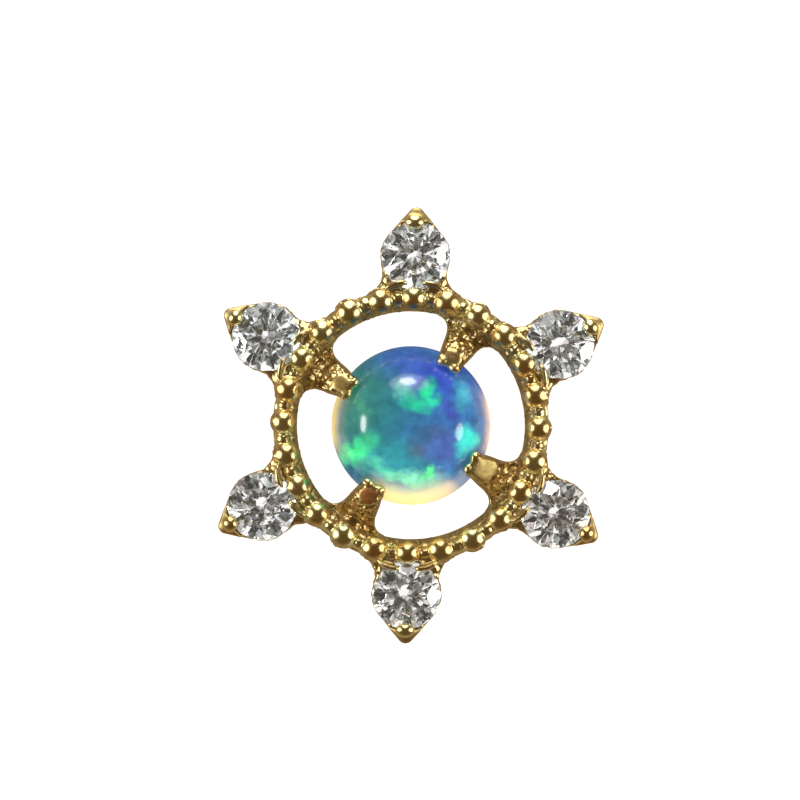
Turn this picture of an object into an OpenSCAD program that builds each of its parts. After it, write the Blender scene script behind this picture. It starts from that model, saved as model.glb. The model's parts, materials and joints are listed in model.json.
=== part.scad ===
// Cartilage stud: a six-pointed gold star with a round opal, six clear stones and a flat-back post.
// Each piece is first made in the star's own frame: the star lies in the XY plane with its back
// at z = 0 and its face towards +Z, and the post runs down -Z. The whole stud is then tipped over
// to lie as it would on a table, on two points of the star and the rim of the back disc.

/* [Opal] */
// Diameter of the opal
opal_d = 3.0; // [2.9:0.05:3.05]
// Height of the opal above its widest line
opal_dome_h = 1.0; // [0.9:0.05:1.05]

/* [Stones] */
// Diameter of each clear stone
stone_d = 1.3; // [1.24:0.02:1.3]
// Width of the flat table across a stone, as a share of its diameter
table_share = 0.57; // [0.54:0.01:0.6]
// Angle of a stone's upper facets
crown_angle = 34; // [32:1:35]
// Angle of a stone's lower facets
pavilion_angle = 41; // [40:1:41]

/* [Star] */
// Distance from the centre to each point of the star
tip_r = 4.12; // [4.1:0.01:4.18]
// Distance from the centre to the middle of each clear stone
stone_centre_r = 3.2; // [3.18:0.01:3.22]
// Height of the stones' widest line above the back
girdle_z = 0.64; // [0.63:0.01:0.66]
// Inner radius of the round band
band_in_r = 2.14; // [2.12:0.01:2.16]
// Outer radius of the round band
band_out_r = 2.61; // [2.59:0.01:2.62]
// Thickness of the round band from back to front
band_h = 0.55; // [0.52:0.01:0.56]
// Diameter of each bead on the band
bead_d = 0.46; // [0.44:0.01:0.48]

/* [Claws] */
// Width of a claw arm where it is narrowest
claw_w = 0.64; // [0.58:0.01:0.68]
// How far a claw laps over the edge of the opal
claw_lap = 0.24; // [0.2:0.01:0.28]

/* [Post] */
// Diameter of the post, 18 gauge
post_d = 1.0; // [0.8:0.05:1.2]
// Length of the post between the star and the back disc
post_l = 6.0; // [5:0.5:8]
// Diameter of the back disc
disc_d = 3.0; // [2.5:0.1:3]
// Thickness of the back disc
disc_t = 0.45; // [0.4:0.05:0.6]

/* [Hidden] */
$fn = 48;

arm_count = 6;
bead_count = 24;
claw_count = 4;
claw_turn = 30;
gap = 0.02;

// Stone: heights above and below its edge, and the shares that set its small facets
stone_r = stone_d / 2;
edge_t = 0.03;
table_r = stone_r * table_share;
crown_h = (stone_r - table_r) * tan(crown_angle);
star_facet_share = 0.52;
lower_facet_share = 0.24;

// Opal: a ball's cap on a short straight edge with a bevelled base
opal_r = opal_d / 2;
opal_base_z = 0.32;
opal_edge_z = 0.62;
opal_bevel = 0.2;
opal_ball_r = (opal_r ^ 2 + opal_dome_h ^ 2) / (2 * opal_dome_h);
opal_ball_z = opal_edge_z + opal_dome_h - opal_ball_r;

// Band and beads
band_mid_r = (band_in_r + band_out_r) / 2;
band_round_r = 0.33;
band_round_z = band_h - 0.3;
bead_r = bead_d / 2;
bead_centre_r = band_mid_r + 0.055;
bead_centre_z = band_h + 0.03;
bead_wire_r = 0.17;
bead_wire_z = band_h - 0.03;

// Setting: a cup round each stone, drawn out to a point
cup_r = stone_r + 0.01;
cup_top_z = girdle_z - 0.1;
cup_foot_r = 0.42;
cup_hole_r = 0.22;
tip_round_r = 0.15;
tip_round_centre_r = tip_r - tip_round_r;
tip_reach = tip_r - stone_centre_r;
tip_flank_angle = acos((cup_r - tip_round_r) / (tip_round_centre_r - stone_centre_r));
tip_low_z = 0.4;
taper_end = 1.1;

// Web between band and cup: each hollow flank is an arc that meets the cup smoothly
web_round_r = 0.42;
web_step = 0.03;
web_end_r = 2.8;
flank_band_d = band_out_r + web_step + web_round_r;
flank_cup_d = cup_r + web_round_r;
flank_x = (flank_band_d ^ 2 - flank_cup_d ^ 2 + stone_centre_r ^ 2) / (2 * stone_centre_r);
flank_y = sqrt(flank_band_d ^ 2 - flank_x ^ 2);
flank_band_angle = atan2(flank_y, flank_x);
flank_cup_angle = atan2(flank_y, stone_centre_r - flank_x);

// Lip of the web over a stone's inner edge, and the prong over its outer edge
lip_centre_r = 2.7;
lip_round_r = 0.08;
lip_round_z = girdle_z + 0.14;
lip_foot_z = 0.45;
lip_foot_r = 2.4;
lip_half_w = 0.52;
prong_from_r = 3.8;
prong_low_z = cup_top_z - 0.07;
prong_top_z = girdle_z + 0.1;
prong_ball_r = 0.15;
prong_ball_z = girdle_z + 0.11;
prong_inset = 0.11;
prong_centre_r = tip_r - prong_ball_r - prong_inset;

// Claws: plan outline and side outline
claw_half_w = claw_w / 2;
claw_tip_r = opal_r - claw_lap;
claw_tip_half_w = 0.15;
claw_round_r = 0.18;
claw_sink = 0.02;
claw_round_y = claw_half_w + claw_round_r;
claw_round_x = sqrt((band_in_r + claw_sink - claw_round_r) ^ 2 - claw_round_y ^ 2);
claw_low_z = 0.05;
arm_top_z = 0.52;

// Plate under the opal, levelled where the opal's seat is cut
plate_r = opal_r - opal_bevel;
plate_h = 0.36;

// Back disc
disc_r = disc_d / 2;
disc_round_r = 0.12;
disc_back_z = -post_l - disc_t;

// Resting pose: the star leans back until two of its points and the disc's rim touch the table
tip_drop = tip_round_centre_r * sin(60) + tip_round_r;
rest_drop = tip_drop - (disc_r - disc_round_r);
rest_reach = tip_low_z - (disc_back_z + disc_round_r);
rest_tilt = atan2(rest_drop, rest_reach) - asin(disc_round_r / norm([rest_drop, rest_reach]));
rest_lift = tip_drop * cos(rest_tilt) - tip_low_z * sin(rest_tilt);
rest_front_y = -prong_centre_r * sin(60) * sin(rest_tilt) - prong_ball_z * cos(rest_tilt)
    - prong_ball_r;
rest_back_y = (disc_r - disc_round_r) * sin(rest_tilt) - (disc_back_z + disc_round_r) * cos(rest_tilt)
    + disc_round_r;

// Points along an arc, from one angle to another
function arc(centre, r, from, to, steps) = [
    for (i = [0:steps])
        let (a = from + (to - from) * i / steps)
            centre + r * [cos(a), sin(a)]
];

// The same points on the other side of the X axis, in reverse order
function mirrored(points) = [for (i = [len(points) - 1:-1:0]) [points[i].x, -points[i].y]];

// A level ring of points
function ring(count, r, z, turn) = [
    for (i = [0:count - 1])
        let (a = turn + i * 360 / count)
            [r * cos(a), r * sin(a), z]
];

// Lays a piece down on the table
module resting() {
    translate([0, -(rest_front_y + rest_back_y) / 2, rest_lift])
        rotate([90 - rest_tilt, 0, 0])
            children();
}

// Repeats a piece evenly round the star's axis
module around(count, turn = 0) {
    for (i = [0:count - 1])
        rotate(turn + i * 360 / count)
            children();
}

// Opal, or the room for it where a clearance is given
module opal_body(clearance = 0) {
    r = opal_r + clearance;
    low = opal_base_z - clearance;
    above = 3;
    rotate_extrude()
        intersection() {
            translate([0, opal_ball_z])
                circle(opal_ball_r + clearance);
            polygon([[0, low], [r - opal_bevel, low], [r, low + opal_bevel], [r, above], [0, above]]);
        }
}

// Room for one stone: the plain turned shape that just holds it
module stone_room() {
    r = stone_r + gap;
    side = edge_t / 2 + gap;
    top = side + crown_h + gap;
    rotate_extrude()
        polygon([[0, -side - r * tan(pavilion_angle)], [r, -side], [r, side], [table_r + gap, top], [0, top]]);
}

// Round brilliant with its edge's mid-height at z = 0. The side corners of each kite and main
// facet are placed on that facet's own plane, so all of them are flat.
module round_brilliant() {
    half = 22.5;
    edge = edge_t / 2;
    star_r = table_r + (stone_r - table_r) * star_facet_share;
    star_z = edge + (stone_r - star_r * cos(half)) * tan(crown_angle);
    lower_r = stone_r * lower_facet_share;
    lower_z = -edge - (stone_r - lower_r * cos(half)) * tan(pavilion_angle);
    points = concat(
        ring(8, table_r, edge + crown_h, 0),
        ring(8, star_r, star_z, half),
        ring(16, stone_r, edge, 0),
        ring(16, stone_r, -edge, 0),
        ring(8, lower_r, lower_z, half),
        [[0, 0, -edge - stone_r * tan(pavilion_angle)]]
    );
    star = 8;
    upper = 16;
    lower = 32;
    tail = 48;
    culet = 56;
    faces = concat(
        [[for (i = [7:-1:0]) i]],
        [for (i = [0:7]) [i, (i + 1) % 8, star + i]],
        [for (i = [0:7]) [i, star + i, upper + 2 * i, star + (i + 7) % 8]],
        [for (i = [0:7]) [star + i, upper + 2 * i + 1, upper + 2 * i]],
        [for (i = [0:7]) [star + i, upper + (2 * i + 2) % 16, upper + 2 * i + 1]],
        [for (i = [0:15]) [upper + i, upper + (i + 1) % 16, lower + (i + 1) % 16, lower + i]],
        [for (i = [0:7]) [tail + i, lower + 2 * i, lower + 2 * i + 1]],
        [for (i = [0:7]) [tail + i, lower + 2 * i + 1, lower + (2 * i + 2) % 16]],
        [for (i = [0:7]) [culet, tail + (i + 7) % 8, lower + 2 * i, tail + i]]
    );
    polyhedron(points, faces);
}

// Band with a square back and a rounded front, and the thin wire that joins the beads
module band() {
    rotate_extrude()
        translate([bead_centre_r, bead_wire_z])
            circle(bead_wire_r);
    rotate_extrude()
        intersection() {
            translate([band_in_r, 0])
                square([band_out_r - band_in_r, band_h]);
            translate([band_mid_r, band_round_z])
                circle(band_round_r);
        }
}

module bead() {
    translate([bead_centre_r, 0, bead_centre_z])
        sphere(bead_r);
}

// Plan outline of the setting that points along +X: web, cup and point
module setting_outline() {
    inner = band_mid_r * [cos(flank_band_angle), sin(flank_band_angle)];
    flank = arc([flank_x, flank_y], web_round_r, 180 + flank_band_angle, 360 - flank_cup_angle, 7);
    cup = arc([stone_centre_r, 0], cup_r, 171 - flank_cup_angle, tip_flank_angle, 8);
    tip = arc([tip_round_centre_r, 0], tip_round_r, tip_flank_angle, 0, 4);
    half = concat([inner], flank, cup, tip);
    polygon(concat(half, mirrored([for (i = [0:len(half) - 2]) half[i]])));
}

// Narrowing of the cup and the point towards the back, with the web left square
module setting_taper() {
    out = cup_foot_r + (tip_reach - cup_foot_r) * taper_end;
    translate([stone_centre_r, 0, 0])
        rotate_extrude()
            polygon([[0, 0], [cup_foot_r, 0], [out, tip_low_z * taper_end], [out, 1], [0, 1]]);
    translate([0, -1, 0])
        cube([web_end_r, 2, 1]);
}

module setting() {
    intersection() {
        linear_extrude(cup_top_z)
            setting_outline();
        setting_taper();
    }
    intersection() {
        translate([0, -lip_half_w, 0])
            cube([stone_centre_r, 2 * lip_half_w, 1]);
        rotate_extrude()
            union() {
                translate([lip_centre_r, lip_round_z])
                    circle(lip_round_r);
                polygon([
                    [lip_foot_r, lip_foot_z],
                    [lip_centre_r + lip_round_r, lip_foot_z],
                    [lip_centre_r + lip_round_r, lip_round_z],
                    [lip_centre_r - lip_round_r, lip_round_z],
                ]);
            }
    }
    intersection() {
        translate([0, 0, prong_low_z])
            linear_extrude(prong_top_z - prong_low_z)
                setting_outline();
        translate([prong_from_r, -1, 0])
            cube([1, 2, 1]);
    }
    translate([prong_centre_r, 0, prong_ball_z])
        sphere(prong_ball_r);
}

// Claw and its arm for the direction +X, as a plan outline cut by a side outline
module claw() {
    blunt = [
        [claw_tip_r, claw_tip_half_w],
        [claw_tip_r + 0.04, claw_tip_half_w + 0.05],
        [claw_tip_r + 0.2, claw_tip_half_w + 0.1],
        [opal_r + 0.1, claw_half_w - 0.03],
    ];
    flare = arc([claw_round_x, claw_round_y], claw_round_r, -90, atan2(claw_round_y, claw_round_x), 6);
    root = [[band_mid_r, 0.6]];
    half = concat(blunt, flare, root);
    tall = 2;
    intersection() {
        linear_extrude(tall)
            polygon(concat(half, mirrored(half)));
        rotate([90, 0, 0])
            translate([0, 0, -tall / 2])
                linear_extrude(tall)
                    claw_side();
    }
}

// Side outline of a claw: level arm, rise behind the opal, and the hooked end over its edge
module claw_side() {
    back = opal_r + 0.36;
    polygon([
        [1.15, claw_low_z],
        [band_mid_r, claw_low_z],
        [band_mid_r, arm_top_z],
        [back + 0.2, arm_top_z + 0.02],
        [back + 0.08, arm_top_z + 0.12],
        [back, arm_top_z + 0.32],
        [back - 0.06, arm_top_z + 0.48],
        [back - 0.16, arm_top_z + 0.6],
        [back - 0.28, arm_top_z + 0.67],
        [back - 0.4, arm_top_z + 0.7],
        [back - 0.52, arm_top_z + 0.68],
        [back - 0.61, arm_top_z + 0.61],
        [1.15, 0.9],
    ]);
}

module star_frame() {
    color("goldenrod")
        resting()
            difference() {
                union() {
                    band();
                    cylinder(h = plate_h, r = plate_r);
                    around(bead_count)
                        bead();
                    around(arm_count)
                        setting();
                    around(claw_count, claw_turn)
                        claw();
                }
                opal_body(gap);
                around(arm_count)
                    translate([stone_centre_r, 0, 0]) {
                        translate([0, 0, girdle_z])
                            stone_room();
                        translate([0, 0, -1])
                            cylinder(h = 1 + cup_top_z / 2, r = cup_hole_r);
                    }
            }
}

module opal() {
    color("mediumturquoise")
        resting()
            opal_body();
}

// One clear stone, in the point of the star with this number
module stone(number) {
    color("lightcyan")
        resting()
            rotate((number - 1) * 360 / arm_count)
                translate([stone_centre_r, 0, girdle_z])
                    round_brilliant();
}

// Post with its flat back disc, turned as one piece
module labret_post() {
    flat_r = disc_r - disc_round_r;
    color("goldenrod")
        resting()
            rotate_extrude()
                polygon(concat(
                    [[0, 0], [0, disc_back_z]],
                    arc([flat_r, disc_back_z + disc_round_r], disc_round_r, -90, 0, 6),
                    arc([flat_r, -post_l - disc_round_r], disc_round_r, 0, 90, 6),
                    [[post_d / 2, -post_l], [post_d / 2, 0]]
                ));
}

star_frame();
opal();
stone(1);  // stone_1
stone(2);  // stone_2
stone(3);  // stone_3
stone(4);  // stone_4
stone(5);  // stone_5
stone(6);  // stone_6
labret_post();
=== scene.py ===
"""Looks of the cartilage stud: fused gold star, opal cabochon, six clear stones and the back post.

Shapes are worked out in millimetres in the star's own frame, where the star lies in the XY plane with
its back at z = 0 and its face towards +Z, and are then laid down in the frame of the CAD, in metres.
"""

import json
import math

import bpy
import numpy as np
from mathutils import Matrix, Vector


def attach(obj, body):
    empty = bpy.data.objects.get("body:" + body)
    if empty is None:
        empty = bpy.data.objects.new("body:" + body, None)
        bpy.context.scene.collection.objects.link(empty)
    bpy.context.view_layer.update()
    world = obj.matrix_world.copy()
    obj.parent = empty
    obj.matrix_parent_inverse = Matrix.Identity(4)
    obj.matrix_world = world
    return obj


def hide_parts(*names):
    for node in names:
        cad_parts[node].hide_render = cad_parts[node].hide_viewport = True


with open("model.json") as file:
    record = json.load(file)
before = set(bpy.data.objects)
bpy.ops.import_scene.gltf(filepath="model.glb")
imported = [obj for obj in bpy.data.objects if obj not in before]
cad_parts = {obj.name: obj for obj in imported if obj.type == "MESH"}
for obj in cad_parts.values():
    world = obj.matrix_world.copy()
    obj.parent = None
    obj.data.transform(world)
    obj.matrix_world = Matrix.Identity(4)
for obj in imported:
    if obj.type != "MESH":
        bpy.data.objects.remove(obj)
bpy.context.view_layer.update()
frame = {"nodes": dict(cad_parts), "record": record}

MM = 0.001

# Sizes below are in millimetres. Most are the CAD's own, and the fine forms of the gold are only here.
# A name that ends in FILLET or EDGE is the width over which two forms blend or an edge is softened.

# Opal, with its base rings by radius and its side by radius and height. The dome starts a little over
# the edge of the ball, by this many degrees
OPAL_R = 1.5
OPAL_BASE_Z = 0.32
OPAL_EDGE_Z = 0.62
OPAL_BEVEL = 0.2
OPAL_BALL_R = 1.625
OPAL_BALL_Z = -0.005
OPAL_BASE_RINGS = (0, 0.5, 1.0, 1.27)
OPAL_SIDE = [(1.305, 0.335), (1.4, 0.425), (1.475, 0.5), (1.493, 0.525), (1.5, 0.555), (1.5, 0.59),
             (1.497, 0.622)]
OPAL_SIDES = 160
DOME_START_DEG = 1.5
DOME_STEPS = 40

# Small stones, and the room that the gold leaves round stones and opal
STONE_COUNT = 6
STONE_R = 0.65
STONE_TABLE_R = 0.3705
STONE_CENTRE_R = 3.2
GIRDLE_Z = 0.64
GIRDLE_T = 0.03
CROWN_ANGLE = math.radians(34)
PAVILION_ANGLE = math.radians(41)
GAP = 0.02
SEAT_EDGE = 0.02

# Band, the wire on its front, and the beads and small grains along the wire
BAND_IN_R = 2.17
BAND_OUT_R = 2.61
BAND_MID_R = 2.39
BAND_H = 0.55
BAND_ROUND_R = 0.33
BAND_ROUND_Z = 0.25
BAND_EDGE = 0.03
WIRE_R = 0.16
WIRE_Z = 0.46
WIRE_FILLET = 0.04
BEAD_COUNT = 24
BEAD_R = 0.262
BEAD_CENTRE_R = 2.42
BEAD_Z = 0.58
BEAD_FILLET = 0.03
BEAD_TURN_OFF = 0.005
BEAD_PLACE_OFF = 0.012
BEAD_SIZE_OFF = 0.008
SEED_R = 0.135
SEED_Z = 0.60
SEED_SIZE_OFF = 0.02
INNER_SEED_R = 0.095
INNER_SEED_AWAY = 2.295
INNER_SEED_Z = 0.545
INNER_SEED_OFF = 0.02

# Settings: cups drawn out to points, with webs to the band
CUP_R = 0.66
CUP_TOP_Z = 0.54
CUP_FOOT_R = 0.42
CUP_HOLE_R = 0.22
CUP_SLOPE = 1.25
CUP_TOP_EDGE = 0.14
CUP_BACK_EDGE = 0.04
CUP_TAPER_EDGE = 0.03
TIP_END_R = 3.97
TIP_ROUND_R = 0.15
WEB_END_R = 2.8
WEB_FILLET = 0.02

# Hollow flank of a web: where its centre lies along the spoke and beside it, and its radius
FLANK_X, FLANK_Y, FLANK_R = 2.8808, 1.0318, 0.42

# Thin lips beside the stones, and the walls that slope away under them
LIP_R = 2.70
LIP_Z = 0.79
LIP_ROUND_R = 0.05
LIP_HALF_W = 0.52
LIP_DIP, LIP_DIP_W = 0.10, 0.12
LIP_BOW, LIP_BOW_AT = 1.0, 0.3
LIP_BEND, LIP_BEND_FROM = 0.8, 0.25
LIP_FALL = 0.45
LIP_WALL_IN, LIP_WALL_HALF_T, LIP_WALL_DROP = 0.11, 0.16, 0.03
LIP_FILLET = 0.06

# Prongs on the tips, each with its own ball of gold
PRONG_FROM_R = 3.8
PRONG_LOW_Z, PRONG_TOP_Z = 0.47, 0.68
PRONG_SIDE_EDGE, PRONG_TOP_EDGE = 0.05, 0.09
PRONG_FILLET = 0.08
PRONG_Z = 0.75
PRONG_R = np.array([3.85, 3.83, 3.88, 3.87, 3.85, 3.88])
PRONG_BALL_R = np.array([0.145, 0.14, 0.14, 0.15, 0.14, 0.145])
PRONG_ACROSS = np.array([0.01, 0.03, 0.0, 0.0, -0.01, -0.01])
PRONG_STRETCH = np.array([1.1, 1.3, 1.1, 1.0, 1.25, 1.05])

# Claws with their arms: half plan and side outline, each as distance from the centre and offset or height
CLAW_COUNT = 4
CLAW_TURN = math.radians(30)
CLAW_PLAN = [(1.25, 0.16), (1.29, 0.20), (1.36, 0.225), (1.46, 0.255), (1.62, 0.295), (1.76, 0.32),
             (1.86, 0.345), (1.93, 0.372), (1.995, 0.42), (2.04, 0.485), (2.062, 0.56), (2.06, 0.64),
             (2.375, 0.75)]
CLAW_PLAN_CLOSED = CLAW_PLAN + [(2.375, -1.0), (1.26, -1.0)]
CLAW_SIDE = [(1.15, 0.05), (2.375, 0.05), (2.375, 0.52), (2.06, 0.54), (1.94, 0.64), (1.86, 0.84),
             (1.80, 1.00), (1.70, 1.12), (1.58, 1.19), (1.46, 1.22), (1.34, 1.20), (1.25, 1.13),
             (1.15, 0.90)]
CLAW_BACK_Z = 0.05
CLAW_EDGE, CLAW_BACK_EDGE, CLAW_FLAT_EDGE = 0.07, 0.03, 0.05
CLAW_CROWN, CLAW_CROWN_HALF_W = 1.6, 0.36
CLAW_FLANK_W, CLAW_FLANK_TAN = 0.075, 1.9
CLAW_FLANK_FROM_R, CLAW_FLANK_END_R = 1.4, 1.95
CLAW_NUB_R, CLAW_NUB_SIDE, CLAW_NUB_Z, CLAW_NUB_SIZE = 1.345, 0.125, 1.10, 0.115
CLAW_NUB_FILLET = 0.02

# Filed flat on top of each claw, and the tone and matte share of each claw and of the tips. The claws' tones
# are painted light and shade, for how each flat catches the light
CLAW_FLAT_R = 1.63
CLAW_FLAT_Z = np.array([1.17, 1.155, 1.145, 1.085])
CLAW_FLAT_TILTS = np.radians([6, 16, 18, 32])
CLAW_FLAT_TWISTS = np.radians([-4, 6, 0, 9])
CLAW_MATTE = np.array([0.3, 1.0, 1.0, 0.8])
CLAW_LIT_AND_SHADED_TONES = np.array([(0.44, 0.33, 0.15), (0.38, 0.26, 0.10), (0.62, 0.26, 0.09), (0.54, 0.37, 0.12)])
TIP_MATTE = 0.6
TIP_TONE = (0.62, 0.46, 0.22)
WALL_MATTE = 0.5

# Plate under the opal, and the fillet where the parts of the star meet
PLATE_R = 1.3
PLATE_H = 0.36
PLATE_EDGE = 0.02
JOIN_FILLET = 0.05

# Post with its back disc. The foot is by radius and height over the disc
POST_R = 0.5
POST_L = 6.0
POST_FOOT = [(0.9, 0), (0.56, 0), (0.52, 0.012), (POST_R, 0.05)]
POST_END_EDGE = (0.01, 0.03)
POST_SIDES = 96
DISC_R = 1.5
DISC_T = 0.45
DISC_ROUND_R = 0.12
DISC_ROUND_STEPS = 10
DISC_RINGS = (0, 0.6, 1.2)

# Grains of the cast skin: size, height, how round they are, and the numbers that scatter them
LUMP_SIZE = 0.135
LUMP_H = 0.045
LUMP_ROUND = 0.4
LUMP_HASH = [(12.99, 78.23, 37.72), (39.35, 11.14, 83.16), (73.16, 52.24, 9.15)]
LUMP_HASH_SCALE = 43758.5453

# Meshing of the star
CELL, QUICK_CELL = 0.03, 0.06
GRID_LOW, GRID_HIGH = np.array([-4.2, -3.75, -0.08]), np.array([4.2, 3.75, 1.36])
SETTLE_ROUNDS = 3
SLOPE_STEP = 0.002
HIDDEN_KEEP = 0.72
BACK_SKIN_Z = 0.03
HIDDEN_INSET = 0.05

# The photo's frame: its width, its scale, where the star's centre lies from the middle, and how far the
# star is turned in it. The lens is long, so the view is nearly flat
IMAGE_PX = 800
PX_PER_MM = 53
STAR_RIGHT_PX, STAR_DOWN_PX = 11, 25.5
TURN = math.radians(28.5)
LENS, SENSOR_W = 135, 36

# Lights: name, degrees above the line of sight and right of it, width, height and glow
LIGHT_AWAY = 60
GEM_LIGHTS = [
    ("top_light", 61, -4, 52, 26, 2.5),
    ("top_core", 62, -8, 20, 12, 13),
    ("left_light", 2, -67, 9, 20, 13),
    ("right_light", -7, 69, 13, 20, 9),
]
METAL_LIGHTS = [
    ("metal_top", 80, 0, 60, 116, 2.4),
    ("metal_left", 2, -69, 64, 52, 2.35),
    ("metal_right", -2, 73, 72, 54, 2.35),
]
GEM_TINT = (1.0, 1.0, 1.0)
METAL_TINT = (1.0, 0.985, 0.84)
FLOOR_HALF_M = 3.0

# Tones of the room in front of the star and behind it, and of the glints in the stones, with their hues
ROOM_TONES = [(0.110, 0.068, 0.029), (0.345, 0.255, 0.152)]
GLINT_TONES = [(0.22, 0.215, 0.205), (1.05, 1.07, 1.06)]
GLINT_HUE_SHARE, GLINT_HUE_BASE = (0.5, 0.5, 0.5), (0.75, 0.75, 0.745)
DEEP_RAY = 2.5

# Colours: pairs are the two ends of a variation
GOLD_CALM = [(0.86, 0.71, 0.39), (0.90, 0.79, 0.45)]
GOLD_LIVELY = [(0.89, 0.64, 0.29), (0.89, 0.86, 0.50)]
GOLD_CAST = [(0.84, 0.58, 0.31), (0.92, 0.76, 0.43)]
# Painted shade in the gold's hollows
GOLD_PAINTED_HOLLOW_SHADE = (0.30, 0.19, 0.08)
# Painted shade in the seams between grains and on the claws' flanks
GOLD_PAINTED_SEAM_SHADE = (0.26, 0.15, 0.06)
# Painted shade on the band's inner wall, where it faces the opal
GOLD_PAINTED_WALL_SHADE = (0.35, 0.27, 0.13)
STONE_TONES = [(0.93, 0.955, 0.97), (1.0, 0.96, 0.93)]
# Painted warm reflection of the gold, on the stones low in the view
STONE_PAINTED_WARM_REFLECTION = (0.86, 0.79, 0.73)
OPAL_BODY = [(0.025, 0.10, 0.20), (0.04, 0.20, 0.42)]

# Patches of the opal's play of colour: place (right, up), half sizes, turn in degrees, share, and colour
OPAL_PATCHES = [
    (-0.95, 0.35, 0.75, 1.10, 0, 1.0, (0.035, 0.20, 0.17)),
    (-0.20, 0.10, 0.60, 0.70, 0, 0.7, (0.02, 0.16, 0.20)),
    (0.08, -0.05, 0.40, 0.36, 0, 0.5, (0.04, 0.13, 0.36)),
    (0.35, 1.05, 1.00, 0.40, -15, 0.9, (0.04, 0.10, 0.48)),
    (0.62, 0.85, 0.40, 0.30, -30, 0.8, (0.03, 0.05, 0.45)),
    (0.75, 0.30, 0.50, 0.60, 0, 0.6, (0.04, 0.12, 0.40)),
    (0.74, 0.28, 0.14, 0.18, 0, 0.7, (0.05, 0.05, 0.36)),
    (0.40, -0.15, 0.34, 0.14, 10, 0.8, (0.04, 0.09, 0.17)),
    (0.12, -0.46, 0.20, 0.18, 0, 0.9, (0.06, 0.09, 0.15)),
    (0.60, -0.45, 0.35, 0.30, 30, 0.7, (0.07, 0.10, 0.38)),
    (-0.35, -0.62, 0.60, 0.28, -25, 0.8, (0.03, 0.30, 0.34)),
    (-0.52, -0.80, 0.36, 0.13, -32, 0.8, (0.08, 0.55, 0.36)),
    (-0.02, -0.98, 0.42, 0.13, -4, 0.9, (0.22, 0.74, 0.42)),
    (0.42, -0.92, 0.26, 0.10, 10, 0.6, (0.20, 0.45, 0.42)),
    (0.27, -0.86, 0.09, 0.12, 0, 0.95, (0.10, 0.80, 0.26)),
    (-0.98, 0.32, 0.14, 0.22, 10, 0.5, (0.08, 0.38, 0.24)),
    (-0.98, -0.68, 0.22, 0.14, -40, 0.7, (0.08, 0.48, 0.33)),
    (-1.12, -0.52, 0.31, 0.19, 28, 1.0, (0.06, 0.88, 0.30)),
    (-0.80, -0.32, 0.28, 0.18, 30, 0.8, (0.05, 0.55, 0.26)),
    (-0.13, 0.66, 0.22, 0.13, -20, 0.75, (0.12, 0.52, 0.42)),
    (0.36, 0.60, 0.15, 0.19, 0, 1.0, (0.02, 0.60, 0.28)),
    (0.10, 0.42, 0.22, 0.12, -15, 0.9, (0.02, 0.52, 0.28)),
    (0.20, 0.63, 0.06, 0.06, 0, 0.5, (0.02, 0.28, 0.26)),
    (0.94, 0.62, 0.15, 0.27, 8, 0.75, (0.06, 0.42, 0.50)),
    (1.07, -0.22, 0.18, 0.22, -10, 1.0, (0.05, 0.76, 0.62)),
    (0.96, -0.44, 0.14, 0.12, 0, 0.7, (0.05, 0.50, 0.46)),
]

# Warm light that comes through the opal's thin edge: middle and half width of the arc in degrees, radius
# where it starts and where it is full, share, and colour
OPAL_RIM = [
    (176, 38, 1.14, 1.38, 0.55, (0.45, 0.42, 0.40)),
    (172, 30, 1.30, 1.46, 0.95, (0.95, 0.74, 0.30)),
    (0, 40, 1.14, 1.42, 0.5, (0.34, 0.34, 0.50)),
    (2, 26, 1.34, 1.48, 0.95, (0.98, 0.68, 0.52)),
    (-55, 30, 1.14, 1.36, 0.6, (0.36, 0.36, 0.42)),
    (-92, 40, 0.90, 1.24, 0.5, (0.50, 0.62, 0.42)),
    (-92, 44, 1.00, 1.36, 0.95, (0.98, 0.84, 0.36)),
    (-66, 16, 1.12, 1.34, 0.45, (0.85, 0.58, 0.40)),
]

# Directions and places in the CAD's frame. The mount post_shank lies at the middle of the post
mounts = {m["name"]: m for m in frame["record"]["mounts"]}
FACE = Vector(mounts["ear_seat"]["axis"]).normalized()
ACROSS = Vector((1, 0, 0))
UPWARD = FACE.cross(ACROSS)
STAR_CENTRE = Vector(mounts["post_shank"]["pos_m"]) + FACE * POST_L / 2 * MM
VIEW_RIGHT = ACROSS * math.cos(TURN) - UPWARD * math.sin(TURN)
VIEW_UP = ACROSS * math.sin(TURN) + UPWARD * math.cos(TURN)
FRONT = STAR_CENTRE + FACE * GIRDLE_Z * MM


def laid_down(points):
    """Points of the star's own frame, in millimetres, as points of the CAD's frame, in metres."""
    axes = np.array([ACROSS, UPWARD, FACE])
    return np.asarray(points, float) @ axes * MM + np.array(STAR_CENTRE)


def add_piece(name, mesh):
    """Smooth-shaded piece of the scene from a mesh."""
    mesh.validate()
    mesh.polygons.foreach_set("use_smooth", np.full(len(mesh.polygons), True))
    piece = bpy.data.objects.new(name, mesh)
    bpy.context.scene.collection.objects.link(piece)
    return piece


def add_large_mesh(name, points, faces):
    """Piece with many faces, all with the same number of corners."""
    mesh = bpy.data.meshes.new(name)
    points = laid_down(points)
    faces = np.asarray(faces, np.int32)
    mesh.vertices.add(len(points))
    mesh.vertices.foreach_set("co", points.astype(np.float32).ravel())
    mesh.loops.add(faces.size)
    mesh.loops.foreach_set("vertex_index", faces.ravel())
    mesh.polygons.add(len(faces))
    mesh.polygons.foreach_set("loop_start", np.arange(0, faces.size, faces.shape[1], dtype=np.int32))
    mesh.update(calc_edges=True)
    return add_piece(name, mesh)


def blend(a, b, k):
    """Union of two distances with a fillet about k wide."""
    h = np.clip(0.5 + 0.5 * (b - a) / k, 0, 1)
    return b + (a - b) * h - k * h * (1 - h)


def carve(a, b, k):
    """Distance a with b cut out of it, its edge softened by about k."""
    return -blend(-a, b, k)


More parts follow.
